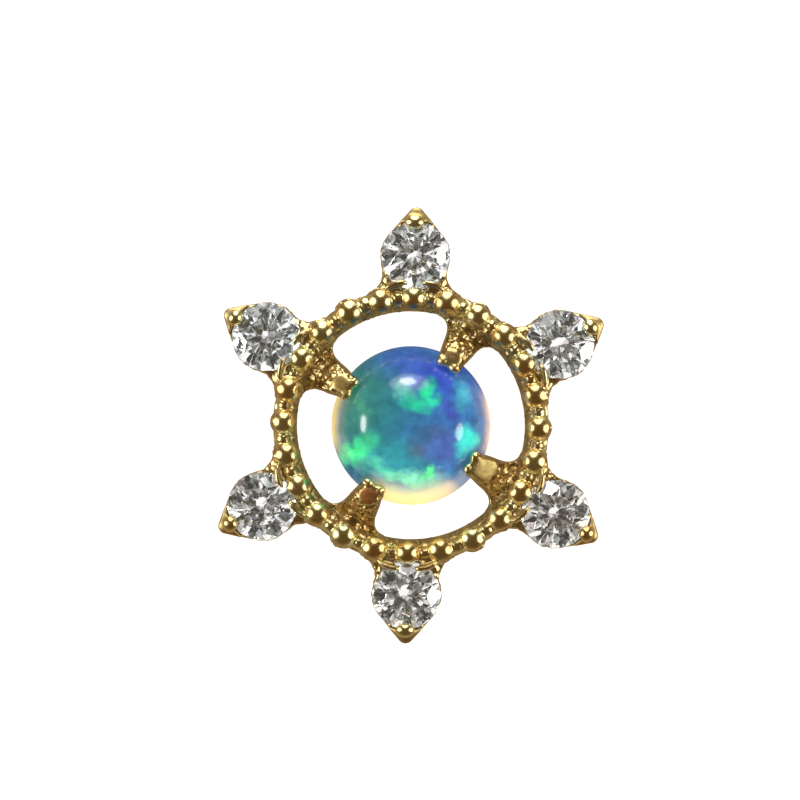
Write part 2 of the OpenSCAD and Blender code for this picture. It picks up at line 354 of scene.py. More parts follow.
def both(a, b, k):
    """Intersection of two distances with its edge softened by about k."""
    return -blend(-a, -b, k)


def rising(value, start, width, least=0):
    """From 0 at the start up to 1 at a width past it, and never under least."""
    return np.clip((value - start) / width, least, 1)


def falling(value, end, width, least=0):
    """From 1 at a width before the end down to 0 at the end, and never under least."""
    return np.clip((end - value) / width, least, 1)


def uneven(number, rate, phase=0.0):
    """From -1 to 1, and different for each number."""
    return np.sin(number * rate + phase)


def folded(x, y, count, turn=0.0):
    """Coordinates folded onto the nearest of count directions: along it, and sideways (never negative)."""
    r = np.hypot(x, y)
    step = 2 * math.pi / count
    a = np.arctan2(y, x) - turn
    a = a - np.round(a / step) * step
    return r * np.cos(a), np.abs(r * np.sin(a))


def on_spoke(x, y, count, turn=0.0):
    """Coordinates along the nearest of count directions and across it, and that direction's number."""
    step = 2 * math.pi / count
    which = np.round((np.arctan2(y, x) - turn) / step)
    a = turn + which * step
    return x * np.cos(a) + y * np.sin(a), y * np.cos(a) - x * np.sin(a), which.astype(int) % count


def polygon_distance(x, y, corners):
    """Signed distance to a closed polygon."""
    best = np.full(x.shape, 1e9, x.dtype)
    sign = np.ones(x.shape, x.dtype)
    for i, (ax, ay) in enumerate(corners):
        bx, by = corners[i - 1]
        ex, ey = bx - ax, by - ay
        wx, wy = x - ax, y - ay
        t = np.clip((wx * ex + wy * ey) / (ex * ex + ey * ey), 0, 1)
        best = np.minimum(best, (wx - ex * t) ** 2 + (wy - ey * t) ** 2)
        c1, c2, c3 = wy >= 0, y < by, ex * wy > ey * wx
        sign = np.where((c1 & c2 & c3) | ~(c1 | c2 | c3), -sign, sign)
    return sign * np.sqrt(best)


def band_distance(r, z):
    """Band with a square back and a rounded front, and the wire under the beads."""
    box_r = np.abs(r - BAND_MID_R) - (BAND_OUT_R - BAND_IN_R) / 2
    box_z = np.abs(z - BAND_H / 2) - BAND_H / 2
    box = np.hypot(np.maximum(box_r, 0), np.maximum(box_z, 0)) + np.minimum(np.maximum(box_r, box_z), 0)
    rounded = np.hypot(r - BAND_MID_R, z - BAND_ROUND_Z) - BAND_ROUND_R
    wire = np.hypot(r - BEAD_CENTRE_R, z - WIRE_Z) - WIRE_R
    return blend(both(box, rounded, BAND_EDGE), wire, WIRE_FILLET)


def bead_distance(x, y, z):
    """Beads along the band, each a little off its place and size, as cast."""
    number = np.round(np.arctan2(y, x) * BEAD_COUNT / (2 * math.pi)) % BEAD_COUNT
    turn = number * 2 * math.pi / BEAD_COUNT + BEAD_TURN_OFF * uneven(number, 12.9)
    away = BEAD_CENTRE_R + BEAD_PLACE_OFF * uneven(number, 7.3, 1)
    size = BEAD_R + BEAD_SIZE_OFF * uneven(number, 4.1, 2)
    along = x * np.cos(turn) + y * np.sin(turn) - away
    side = y * np.cos(turn) - x * np.sin(turn)
    return np.sqrt(along ** 2 + side ** 2 + (z - BEAD_Z) ** 2) - size


def seed_distance(x, y, z):
    """Two small grains between each two beads: one in line with them and one further in."""
    along, off, which = on_spoke(x, y, BEAD_COUNT, math.pi / BEAD_COUNT)
    size = SEED_R + SEED_SIZE_OFF * uneven(which, 5.3)
    middle = np.sqrt((along - BEAD_CENTRE_R) ** 2 + off ** 2 + (z - SEED_Z) ** 2) - size
    shift = INNER_SEED_OFF * uneven(which, 3.7)
    inner = (along - INNER_SEED_AWAY) ** 2 + (off - shift) ** 2 + (z - INNER_SEED_Z) ** 2
    return np.minimum(middle, np.sqrt(inner) - INNER_SEED_R)


def setting_outline(along, side):
    """Plan of a setting: the cup drawn out to a point, and the web with its hollow flanks."""
    reach = TIP_END_R - STONE_CENTRE_R
    slope = (CUP_R - TIP_ROUND_R) / reach
    level = math.sqrt(1 - slope * slope)
    px, py = side, along - STONE_CENTRE_R
    across = level * py - slope * px
    cup = np.hypot(px, py) - CUP_R
    tip = np.hypot(px, py - reach) - TIP_ROUND_R
    flank = px * level + py * slope - CUP_R
    point = np.where(across < 0, cup, np.where(across > level * reach, tip, flank))
    hollow = FLANK_R - np.hypot(along - FLANK_X, side - FLANK_Y)
    length = math.hypot(FLANK_X, FLANK_Y)
    below = (side * FLANK_X - along * FLANK_Y) / length
    back = math.hypot(STONE_CENTRE_R - FLANK_X, FLANK_Y)
    before = ((along - STONE_CENTRE_R) * FLANK_Y + side * (STONE_CENTRE_R - FLANK_X)) / back
    web = np.maximum(np.maximum(hollow, np.maximum(below, before)), BAND_MID_R - along)
    return blend(point, web, WEB_FILLET)


def cup_distance(along, side, z, outline):
    """Cup and web of a setting, drawn in below the stone."""
    from_cup = np.hypot(along - STONE_CENTRE_R, side)
    cone = (from_cup - CUP_FOOT_R - CUP_SLOPE * z) / math.hypot(1, CUP_SLOPE)
    taper = np.minimum(cone, along - WEB_END_R)
    cup = both(both(outline, z - CUP_TOP_Z, CUP_TOP_EDGE), -z, CUP_BACK_EDGE)
    return both(cup, taper, CUP_TAPER_EDGE)


def lip_distance(r, side, z):
    """Thin bowed lip beside a stone, with the wall that slopes away under it."""
    r = r + LIP_BEND * np.maximum(side - LIP_BEND_FROM, 0) ** 2
    lip_z = LIP_Z - LIP_DIP * np.exp(-(side / LIP_DIP_W) ** 2) - LIP_BOW * (side - LIP_BOW_AT) ** 2
    lip_side = np.maximum(side - LIP_HALF_W, 0)
    lip = np.sqrt((r - LIP_R) ** 2 + (z - lip_z) ** 2 + lip_side ** 2) - LIP_ROUND_R
    slope = (z - lip_z + LIP_WALL_DROP + LIP_FALL * np.abs(LIP_R - r)) / math.hypot(1, LIP_FALL)
    plan = np.maximum(np.abs(r - LIP_R + LIP_WALL_IN) - LIP_WALL_HALF_T, side - LIP_HALF_W)
    return blend(lip, np.maximum(plan, np.maximum(slope, -z)), LIP_FILLET)


def prong_ball(x, y, z):
    """Ball of gold on each tip, each with its own place, size and stretch."""
    along, off, which = on_spoke(x, y, STONE_COUNT)
    across = (off - PRONG_ACROSS[which]) / PRONG_STRETCH[which]
    return np.sqrt((along - PRONG_R[which]) ** 2 + across ** 2 + (z - PRONG_Z) ** 2) - PRONG_BALL_R[which]


def setting_distance(x, y, z):
    """Six settings, each with its cup, web, lip and prong."""
    along, side = folded(x, y, STONE_COUNT)
    outline = setting_outline(along, side)
    cup = cup_distance(along, side, z, outline)
    lip = lip_distance(np.hypot(x, y), side, z)
    block_z = np.maximum(z - PRONG_TOP_Z, PRONG_LOW_Z - z)
    block = both(both(outline, PRONG_FROM_R - along, PRONG_SIDE_EDGE), block_z, PRONG_TOP_EDGE)
    prong = blend(block, prong_ball(x, y, z), PRONG_FILLET)
    return blend(blend(cup, lip, LIP_FILLET), prong, JOIN_FILLET)


def claw_flat(x, y, z):
    """Distance above the filed flat on top of each claw."""
    along, off, which = on_spoke(x, y, CLAW_COUNT, CLAW_TURN)
    tilt, twist = CLAW_FLAT_TILTS[which], CLAW_FLAT_TWISTS[which]
    outward = (along - CLAW_FLAT_R) * np.cos(twist) + off * np.sin(twist)
    return outward * np.sin(tilt) + (z - CLAW_FLAT_Z[which]) * np.cos(tilt)


def past_claw_edge(along, side):
    """How far a point lies out on the sloping flank of a claw, from 0 at its upper edge."""
    half = np.interp(along, [p[0] for p in CLAW_PLAN], [p[1] for p in CLAW_PLAN])
    fade = falling(along, CLAW_FLANK_END_R, 0.15) * rising(along, CLAW_FLANK_FROM_R, 0.1)
    return np.clip(side - half + CLAW_FLANK_W, 0, 2 * CLAW_FLANK_W) * fade


def claw_distance(x, y, z):
    """Four claws with their arms: blunt hooks with sloping flanks, a filed flat, and two nubs at the end."""
    along, off, _ = on_spoke(x, y, CLAW_COUNT, CLAW_TURN)
    side = np.abs(off)
    plan = polygon_distance(along, side, CLAW_PLAN_CLOSED)
    crowned = z + CLAW_CROWN * np.minimum(side, CLAW_CROWN_HALF_W) ** 2
    crowned = crowned + CLAW_FLANK_TAN * past_claw_edge(along, side)
    profile = polygon_distance(along, crowned, CLAW_SIDE)
    body = both(both(plan, profile, CLAW_EDGE), CLAW_BACK_Z - z, CLAW_BACK_EDGE)
    body = both(body, claw_flat(x, y, z), CLAW_FLAT_EDGE)
    nub = np.sqrt((along - CLAW_NUB_R) ** 2 + (side - CLAW_NUB_SIDE) ** 2 + (z - CLAW_NUB_Z) ** 2)
    return blend(body, nub - CLAW_NUB_SIZE, CLAW_NUB_FILLET)


def opal_room(r, z):
    """The opal's own form and the gap round it."""
    ball = np.hypot(r, z - OPAL_BALL_Z) - OPAL_BALL_R - GAP
    edge = r - OPAL_R - GAP
    low = OPAL_BASE_Z - GAP - z
    bevel = (r - z - (OPAL_R + GAP) + OPAL_BASE_Z - GAP + OPAL_BEVEL) / math.sqrt(2)
    return np.maximum(np.maximum(ball, edge), np.maximum(low, bevel))


def stone_room(x, y, z):
    """A cone-shaped seat with a gap round each stone, and the hole through the back behind it."""
    along, side = folded(x, y, STONE_COUNT)
    q = np.hypot(along - STONE_CENTRE_R, side)
    h = z - GIRDLE_Z
    r = STONE_R + GAP
    edge = GIRDLE_T / 2 + GAP
    below = (q - r - (h + edge) / math.tan(PAVILION_ANGLE)) * math.sin(PAVILION_ANGLE)
    above = (q - r + (h - edge) / math.tan(CROWN_ANGLE)) * math.sin(CROWN_ANGLE)
    top = h - (edge + (STONE_R - STONE_TABLE_R) * math.tan(CROWN_ANGLE) + GAP)
    stone = np.maximum(np.maximum(q - r, top), np.maximum(below, above))
    hole = np.maximum(q - CUP_HOLE_R, z - CUP_TOP_Z / 2)
    return np.minimum(stone, hole)


def star_distance(x, y, z):
    """The whole star: its parts joined with fillets, and room for opal and stones cut out."""
    r = np.hypot(x, y)
    plate = both(r - PLATE_R, np.maximum(z - PLATE_H, -z), PLATE_EDGE)
    star = blend(band_distance(r, z), setting_distance(x, y, z), JOIN_FILLET)
    star = blend(star, claw_distance(x, y, z), JOIN_FILLET)
    star = blend(star, plate, JOIN_FILLET)
    star = blend(star, seed_distance(x, y, z), BEAD_FILLET)
    star = blend(star, bead_distance(x, y, z), BEAD_FILLET)
    star = carve(star, opal_room(r, z), SEAT_EDGE)
    return carve(star, stone_room(x, y, z), SEAT_EDGE)


def surface_net(values, low, cell):
    """Vertices and quads of the surface where values, on a grid of points, change sign."""
    shape = np.array(values.shape)
    strides = np.array([shape[1] * shape[2], shape[2], 1])
    owners, spots, quads = [], [], []
    for axis in range(3):
        u, v = (axis + 1) % 3, (axis + 2) % 3
        first = [slice(None)] * 3
        second = [slice(None)] * 3
        first[axis], second[axis] = slice(None, -1), slice(1, None)
        a, b = values[tuple(first)], values[tuple(second)]
        at = np.argwhere((a < 0) != (b < 0))
        va, vb = a[tuple(at.T)].astype(float), b[tuple(at.T)].astype(float)
        spot = at.astype(float)
        spot[:, axis] += va / (va - vb)
        ids = []
        for du, dv in ((-1, -1), (0, -1), (0, 0), (-1, 0)):
            step = np.zeros(3, int)
            step[u], step[v] = du, dv
            ids.append((at + step) @ strides)
        quad = np.stack(ids, 1)
        for column in quad.T:
            owners.append(column)
            spots.append(spot)
        quads.append(np.where((va < 0)[:, None], quad, quad[:, ::-1]))
    owners, spots, quads = np.concatenate(owners), np.concatenate(spots), np.concatenate(quads)
    cells, order = np.unique(owners, return_inverse=True)
    count = np.bincount(order)
    points = np.stack([np.bincount(order, spots[:, i]) / count for i in range(3)], 1)
    return points * cell + low, np.searchsorted(cells, quads)


def slope_at(points, distance):
    """Which way the distance grows at each point, and how fast."""
    x, y, z = points.T
    e = SLOPE_STEP
    return np.stack([
        distance(x + e, y, z) - distance(x - e, y, z),
        distance(x, y + e, z) - distance(x, y - e, z),
        distance(x, y, z + e) - distance(x, y, z - e),
    ], 1) / (2 * e)


def settle(points, distance, rounds, reach):
    """Points moved onto the zero surface of a distance field, by at most the reach in each round."""
    for _ in range(rounds):
        slope = slope_at(points, distance)
        size = np.maximum((slope ** 2).sum(1), 0.25)
        step = slope * (distance(*points.T) / size)[:, None]
        length = np.sqrt((step ** 2).sum(1))
        step *= np.minimum(1, reach / np.maximum(length, 1e-9))[:, None]
        points = points - step
    return points


def cast_skin(x, y, z):
    """How rough the cast skin is, from almost 0 on polished tops to 1 on the claw arms."""
    r = np.hypot(x, y)
    along, side = folded(x, y, CLAW_COUNT, CLAW_TURN)
    arms = rising(r, 1.3, 0.1) * falling(r, 2.3, 0.1)
    arms = arms * np.clip(-claw_flat(x, y, z) / 0.02 - 0.8, 0.1, 1)
    arms = arms * (1 - 0.85 * np.clip(past_claw_edge(along, side) / CLAW_FLANK_W * 2, 0, 1))
    arms = arms * (1 - 0.65 * rising(side, 0.5, 0.15))
    off_beads = rising(np.minimum(bead_distance(x, y, z), seed_distance(x, y, z)), 0, 0.04)
    webs = (0.3 + 0.35 * rising(r, 2.65, 0.1)) * off_beads
    webs = webs * rising(r, 2.45, 0.05) * falling(r, 3.6, 0.1) * falling(z, 0.7, 0.04)
    inside = 0.9 * off_beads * falling(r, 2.42, 0.05) * rising(r, 2.05, 0.05)
    lips = 0.8 * rising(r, 2.55, 0.05) * falling(r, 2.9, 0.1) * (z > 0.6)
    lips = lips * falling(z, 0.75, 0.04, least=0.1)
    webs = np.maximum(webs, np.maximum(inside, lips))
    return np.maximum(np.maximum(arms, webs) * rising(z, 0.2, 0.15), 0.02)


def lumps(x, y, z):
    """Rounded grains of the cast skin: 1 in the middle of a grain and about 0 in the seams."""
    cells = [np.floor(v / LUMP_SIZE) for v in (x, y, z)]
    nearest = np.full(x.shape, 9.0)
    for step in np.ndindex(3, 3, 3):
        cx, cy, cz = (c + s - 1 for c, s in zip(cells, step))
        away = 0
        for v, c, (a, b, k) in zip((x, y, z), (cx, cy, cz), LUMP_HASH):
            place = c + np.abs(np.modf(np.sin(cx * a + cy * b + cz * k) * LUMP_HASH_SCALE)[0])
            away = away + (v / LUMP_SIZE - place) ** 2
        nearest = np.minimum(nearest, away)
    return np.clip(1 - nearest / LUMP_ROUND, 0, 1)


def matte_and_shaded_inner_wall(points, outward):
    """Inner side of the band and its beads, where it faces the opal, from 0 to 1: left unpolished and matte,
    and darkened in colour as painted shade that dims the opal's reflection in it.
    """
    x, y, z = points.T
    r = np.hypot(x, y)
    facing = -(outward[:, 0] * x + outward[:, 1] * y) / np.maximum(r, 1)
    off_claws = rising(folded(x, y, CLAW_COUNT, CLAW_TURN)[1], 0.55, 0.12, least=0.85)
    on_beads = 1 - rising(bead_distance(x, y, z), 0, 0.03)
    upper = rising((x * math.sin(TURN) + y * math.cos(TURN)) / np.maximum(r, 1), 0.5, 0.3)
    # The painted shade starts sooner on beads high in the view, whose inner sides catch no lamp, and later
    # on the others, so they keep their highlights
    start = 0.35 + 0.27 * on_beads * (1 - upper)
    near = (r > 1.9) & (r < 2.75) & (z > 0.05)
    return off_claws * (1 - 0.2 * on_beads) * rising(facing, start, 0.15) * near


def painted_claw_flank_shade(points, outward):
    """Painted shade that makes the sides of the claws darker, from 0 to 1."""
    x, y, z = points.T
    steep = falling(outward[:, 2], 0.55, 0.3)
    sideways = np.abs(outward[:, 0] * y - outward[:, 1] * x) / np.maximum(np.hypot(x, y), 1)
    return steep * rising(sideways, 0.4, 0.3) * ((np.hypot(x, y) < 2.1) & (z > 0.5))


def filed(x, y, z):
    """Where the gold is left matte: the claws' filed tops, and the tips round their balls."""
    which = on_spoke(x, y, CLAW_COUNT, CLAW_TURN)[2]
    r = np.hypot(x, y)
    tops = falling(np.abs(claw_flat(x, y, z)), 0.045, 0.03)
    tops = CLAW_MATTE[which] * tops * ((r < 1.95) & (z > 0.9))
    tips = rising(prong_ball(x, y, z), 0, 0.03) * ((r > PRONG_FROM_R) & (z > 0.55))
    return np.maximum(tops, TIP_MATTE * tips)


def filed_and_painted_light_tone(points):
    """Colour of the matte gold: one for the tips, and its own on each claw, which is painted light and shade
    for how that claw's flat catches the light.
    """
    x, y = points[:, 0], points[:, 1]
    tone = CLAW_LIT_AND_SHADED_TONES[on_spoke(x, y, CLAW_COUNT, CLAW_TURN)[2]]
    tone = np.where((np.hypot(x, y) > PRONG_FROM_R)[:, None], TIP_TONE, tone)
    return np.column_stack([tone, np.ones(len(tone))])


def mark_points(piece, name, values, kind="FLOAT", key="value"):
    """A value at each point of the piece, which its material reads by this name."""
    mark = piece.data.attributes.new(name, kind, "POINT")
    mark.data.foreach_set(key, values.astype(np.float32).ravel())


def thin_out(piece, points):
    """Fewer faces on the flat back, on the plate and in the stones' seats, all flat or out of sight."""
    x, y, z = points.T
    along, side = folded(x, y, STONE_COUNT)
    in_seat = (np.hypot(along - STONE_CENTRE_R, side) < STONE_R) & (z < GIRDLE_Z - HIDDEN_INSET)
    hidden = (z < BACK_SKIN_Z) | (np.hypot(x, y) < PLATE_R - HIDDEN_INSET) | in_seat
    group = piece.vertex_groups.new(name="hidden")
    group.add(np.flatnonzero(hidden).tolist(), 1.0, "REPLACE")
    thin = piece.modifiers.new("thin", "DECIMATE")
    thin.ratio = HIDDEN_KEEP
    thin.vertex_group = "hidden"
    thinned = bpy.data.meshes.new_from_object(piece.evaluated_get(bpy.context.evaluated_depsgraph_get()))
    piece.modifiers.clear()
    piece.vertex_groups.clear()
    piece.data = thinned


def gold_star():
    """The star frame as one fused casting: band, beads, settings, claws and plate."""
    cell = CELL
    grid = [np.arange(a, b, cell, dtype=np.float32) for a, b in zip(GRID_LOW, GRID_HIGH)]
    points, quads = surface_net(star_distance(*np.meshgrid(*grid, indexing="ij")), GRID_LOW, cell)
    points = settle(points, star_distance, SETTLE_ROUNDS, cell / 2)
    slope = slope_at(points, star_distance)
    outward = slope / np.maximum(np.sqrt((slope ** 2).sum(1)), 0.3)[:, None]
    skin = cast_skin(*points.T)
    rise = lumps(*points.T)
    # Painted shade in the seams between grains and on the claws' flanks
    painted_seam_shade = np.maximum(skin * (1 - rise), painted_claw_flank_shade(points, outward))
    points = points + outward * (LUMP_H * skin * (rise - 0.5))[:, None]
    star = add_large_mesh("gold_star", points, quads)
    # Matte inner wall, with painted shade in its colour
    wall = matte_and_shaded_inner_wall(points, outward)
    matte = filed(*(points - outward * (LUMP_H * skin)[:, None]).T)
    mark_points(star, "cast_skin", skin)
    mark_points(star, "filed", np.maximum(matte, WALL_MATTE * wall))
    mark_points(star, "matte_and_shaded_inner_wall", wall)
    mark_points(star, "painted_seam_shade", painted_seam_shade)
    # Tone of the matte gold: painted light and shade on each claw, the tips' own tone on the tips
    mark_points(star, "filed_and_painted_light_tone", filed_and_painted_light_tone(points), "FLOAT_COLOR", "color")
    thin_out(star, points)
    return star


def lathe(name, profile, sides):
    """Closed turned piece. The profile runs from the axis, round the piece and back to the axis."""
    inner = profile[1:-1]
    turns = np.arange(sides) * 2 * math.pi / sides
    points = [(0, 0, profile[0][1]), (0, 0, profile[-1][1])]
    for r, z in inner:
        points += [(r * math.cos(a), r * math.sin(a), z) for a in turns]
    faces = []
    last = 2 + (len(inner) - 1) * sides
    for k in range(sides):
        n = (k + 1) % sides
        faces.append((0, 2 + k, 2 + n))
        for row in range(len(inner) - 1):
            a, b = 2 + row * sides, 2 + (row + 1) * sides
            faces.append((a + k, b + k, b + n, a + n))
        faces.append((1, last + n, last + k))
    mesh = bpy.data.meshes.new(name)
    mesh.from_pydata(laid_down(points).tolist(), [], faces)
    return add_piece(name, mesh)


def arc(centre, r, start, end, steps):
    """Points of an arc, with its angles in degrees."""
    turns = [math.radians(start + (end - start) * i / steps) for i in range(steps + 1)]
    return [(centre[0] + r * math.cos(a), centre[1] + r * math.sin(a)) for a in turns]


def opal_cabochon():
    """Cabochon: flat base, bevel, short edge with a soft shoulder, and a dome."""
    edge_angle = math.degrees(math.atan2(OPAL_EDGE_Z - OPAL_BALL_Z, OPAL_R))
    profile = [(r, OPAL_BASE_Z) for r in OPAL_BASE_RINGS] + OPAL_SIDE
    profile += arc((0, OPAL_BALL_Z), OPAL_BALL_R, edge_angle + DOME_START_DEG, 90, DOME_STEPS)
    return lathe("opal_cabochon", profile, OPAL_SIDES)


def back_post():
    """Post and flat back disc, turned as one piece, with a small fillet where they meet."""
    flat_r = DISC_R - DISC_ROUND_R
    back = -POST_L - DISC_T
    edge_w, edge_h = POST_END_EDGE
    profile = [(r, back) for r in DISC_RINGS]
    profile += arc((flat_r, back + DISC_ROUND_R), DISC_ROUND_R, -90, 0, DISC_ROUND_STEPS)
    profile += arc((flat_r, -POST_L - DISC_ROUND_R), DISC_ROUND_R, 0, 90, DISC_ROUND_STEPS)
    profile += [(r, -POST_L + z) for r, z in POST_FOOT]
    profile += [(POST_R, -POST_L + i) for i in range(1, int(POST_L))]
    profile += [(POST_R, -edge_h), (POST_R - edge_w, 0), (0, 0)]
    return lathe("back_post", profile, POST_SIDES)


def feed(made, node, inputs):
    """Link or set each of the node's inputs that is named here."""
    for key, value in inputs.items():
        if isinstance(value, bpy.types.NodeSocket):
            made.node_tree.links.new(value, node.inputs[key])
        else:
            node.inputs[key].default_value = value


def add_node(made, kind, inputs=(), **settings):
    """Node of a material or world."""
    node = made.node_tree.nodes.new(kind)
    for key, value in settings.items():
        setattr(node, key, value)
    feed(made, node, dict(inputs))
    return node


def material(name):
    """New material, and its shader."""
    made = bpy.data.materials.new(name)
    made.use_nodes = True
    made.node_tree.nodes.clear()
    out = add_node(made, "ShaderNodeOutputMaterial")
    shader = add_node(made, "ShaderNodeBsdfPrincipled")
    feed(made, out, {"Surface": shader.outputs[0]})
    return made, shader


def number_math(made, operation, *inputs):
    """Result of a Math node."""
    return add_node(made, "ShaderNodeMath", enumerate(inputs), operation=operation).outputs[0]


def vector_math(made, operation, *inputs):
    """Result of a Vector Math node: a number for a dot product or length, or else a vector."""
    node = add_node(made, "ShaderNodeVectorMath", enumerate(inputs), operation=operation)
    return node.outputs["Value" if operation in ("DOT_PRODUCT", "LENGTH") else "Vector"]


def attribute(made, name, output="Fac"):
    """Value that mark_points left on the mesh."""
    return add_node(made, "ShaderNodeAttribute", attribute_name=name).outputs[output]


def noise(made, place, scale, detail=2.0, roughness=0.5, output="Fac"):
    """Soft random variation from place to place."""
    inputs = {"Vector": place, "Scale": scale, "Detail": detail, "Roughness": roughness}
    return add_node(made, "ShaderNodeTexNoise", inputs).outputs[output]


def ramp(made, factor, span, tones):
    """Colour that goes from the first tone to the second while the factor passes through the span."""
    node = add_node(made, "ShaderNodeValToRGB", {0: factor})
    for number, (position, tone) in enumerate(zip(span, tones)):
        node.color_ramp.elements[number].position = position
        node.color_ramp.elements[number].color = (*tone, 1)
    return node.outputs[0]


def spread(made, value, span, result=(0.0, 1.0), kind="LINEAR"):
    """Number that goes from one result to the other while the value passes through the span."""
    inputs = {"Value": value, "From Min": span[0], "From Max": span[1]}
    inputs |= {"To Min": result[0], "To Max": result[1]}
    return add_node(made, "ShaderNodeMapRange", inputs, interpolation_type=kind).outputs[0]


def mixed(made, factor, under, over):
    """Colour over laid on colour under, by the factor."""
    node = add_node(made, "ShaderNodeMix", {"Factor": factor}, data_type="RGBA")
    for key, value in (("A", under), ("B", over)):
        socket = next(i for i in node.inputs if i.name == key and i.type == "RGBA")
        if isinstance(value, bpy.types.NodeSocket):
            made.node_tree.links.new(value, socket)
        else:
            socket.default_value = (*value, 1)
    return next(o for o in node.outputs if o.type == "RGBA")


def bump(made, height, strength, depth, under=None, invert=False):
    """Normal bent by a height, with its depth in millimetres, on top of another bump where one is given."""
    inputs = {"Height": height, "Strength": strength, "Distance": depth * MM}
    if under:
        inputs["Normal"] = under
    return add_node(made, "ShaderNodeBump", inputs, invert=invert).outputs[0]


def object_place(made):
    """The piece's own coordinates, in millimetres of the CAD's frame."""
    place = add_node(made, "ShaderNodeTexCoord").outputs["Object"]
    return add_node(made, "ShaderNodeMapping", {"Vector": place, "Scale": (1000, 1000, 1000)}).outputs[0]


def height_along(made, place, way):
    """How far a place lies from the star's centre along a way, in millimetres."""
    from_centre = vector_math(made, "SUBTRACT", place, STAR_CENTRE / MM)
    return vector_math(made, "DOT_PRODUCT", from_centre, way)


def gold_colour(made, place):
    """Yellow gold: lively on the front and calm on the back, redder where cast, with painted light and shade
    on the claws' filed tops, and painted shade in hollows, in seams, on the claws' flanks and on the band's
    inner wall.
    """
    tone = noise(made, place, 2.4)
    calm = ramp(made, tone, (0.38, 0.62), GOLD_CALM)
    lively = ramp(made, tone, (0.38, 0.62), GOLD_LIVELY)
    front = spread(made, height_along(made, place, FACE), (0.1, 0.4))
    colour = mixed(made, front, calm, lively)
    cast = spread(made, attribute(made, "cast_skin"), (0.0, 1.0), (0.0, 0.8))
    colour = mixed(made, cast, colour, ramp(made, noise(made, place, 0.9), (0.40, 0.60), GOLD_CAST))
    # Matte gold: the tips' own tone, and painted light and shade on each claw
    patchy = spread(made, noise(made, place, 9.0, 3.0), (0.35, 0.6), (0.7, 1.0))
    tinge = number_math(made, "MULTIPLY", attribute(made, "filed"), patchy)
    colour = mixed(made, tinge, colour, attribute(made, "filed_and_painted_light_tone", "Color"))
    # Painted shade: darker in the hollows
    pointiness = add_node(made, "ShaderNodeNewGeometry").outputs["Pointiness"]
    colour = mixed(made, spread(made, pointiness, (0.38, 0.48), (0.25, 1.0)), GOLD_PAINTED_HOLLOW_SHADE, colour)
    # Painted shade in the seams and on the claws' flanks
    seams = spread(made, attribute(made, "painted_seam_shade"), (0.4, 0.95), (0.0, 0.6))
    colour = mixed(made, seams, colour, GOLD_PAINTED_SEAM_SHADE)
    # Painted shade on the band's inner wall
    return mixed(made, attribute(made, "matte_and_shaded_inner_wall"), colour, GOLD_PAINTED_WALL_SHADE)


def gold_relief(made, place):
    """Slight waves all over, and small rounded grains where the skin is cast."""
    waves = bump(made, noise(made, place, 3.5, 0.5), strength=0.5, depth=0.006)
    inputs = {"Vector": place, "Scale": 8.5, "Smoothness": 0.4}
    grains = add_node(made, "ShaderNodeTexVoronoi", inputs, feature="SMOOTH_F1").outputs["Distance"]
    dome = number_math(made, "MULTIPLY", grains, grains)
    height = number_math(made, "MULTIPLY", dome, attribute(made, "cast_skin"))
    return bump(made, height, strength=1.0, depth=0.02, under=waves, invert=True)


def gold_material():
    """Yellow gold, polished on the high spots and rougher where it was filed or left as cast."""
    made, shader = material("yellow_gold")
    place = object_place(made)
    polish = spread(made, noise(made, place, 9.0, 4.0, 0.6), (0.3, 0.7), (0.18, 0.28))
    roughness = number_math(made, "MULTIPLY_ADD", attribute(made, "filed"), 0.35, polish)
    feed(made, shader, {
        "Base Color": gold_colour(made, place),
        "Roughness": roughness,
        "Normal": gold_relief(made, place),
        "Metallic": 1.0,
    })
    return made


def stone_colour(made, place):
    """Colourless with a faint cool or warm tone, and a painted warm reflection of the gold towards the lower
    side of the photo's view.
    """
    colour = ramp(made, noise(made, place, 0.7), (0.35, 0.65), STONE_TONES)
    # Painted warm reflection of the gold, stronger lower in the view
    low = spread(made, height_along(made, place, VIEW_UP), (-3.0, 3.0), (0.45, 0.0))
    return mixed(made, low, colour, STONE_PAINTED_WARM_REFLECTION)


def stone_normal(made, place, wear):
    """Facets of the crown broken up into smaller ones, each tipped its own way."""
    fine = bump(made, wear, strength=1.0, depth=0.005)
    cells = add_node(made, "ShaderNodeTexVoronoi", {"Vector": place, "Scale": 3.2}, feature="F1")
    offset = vector_math(made, "SUBTRACT", cells.outputs["Color"], (0.5, 0.5, 0.5))
    crown = number_math(made, "GREATER_THAN", height_along(made, place, FACE), GIRDLE_Z + 0.02)
    share = number_math(made, "MULTIPLY", crown, 0.11)
    return vector_math(made, "NORMALIZE", vector_math(made, "MULTIPLY_ADD", offset, share, fine))


def stone_material():
    """Colourless cut stone with a strong fire of bright and dark facets."""
    made, shader = material("clear_stone")
    place = object_place(made)
    wear = noise(made, place, 3.6, 0.5)
    feed(made, shader, {
        "Base Color": stone_colour(made, place),
        "Roughness": spread(made, wear, (0.4, 0.7), (0.03, 0.06)),
        "Normal": stone_normal(made, place, wear),
        "Transmission Weight": 1.0,
        "IOR": 2.15,
    })
    return made


def opal_place(made):
    """Millimetres from the star's centre: right and up in the photo's view, and along the face."""
    place = add_node(made, "ShaderNodeTexCoord").outputs["Object"]
    from_centre = vector_math(made, "SUBTRACT", place, STAR_CENTRE)
    axes = [vector_math(made, "DOT_PRODUCT", from_centre, way / MM) for way in (VIEW_RIGHT, VIEW_UP, FACE)]
    return add_node(made, "ShaderNodeCombineXYZ", enumerate(axes)).outputs[0]


def wavering(made, place, veil, share):
    """Place in the plane of the face, shifted here and there by a share of the veil."""
    shifted = vector_math(made, "MULTIPLY_ADD", veil, (share, share, 0.0), place)
    return vector_math(made, "MULTIPLY", shifted, (1, 1, 0))


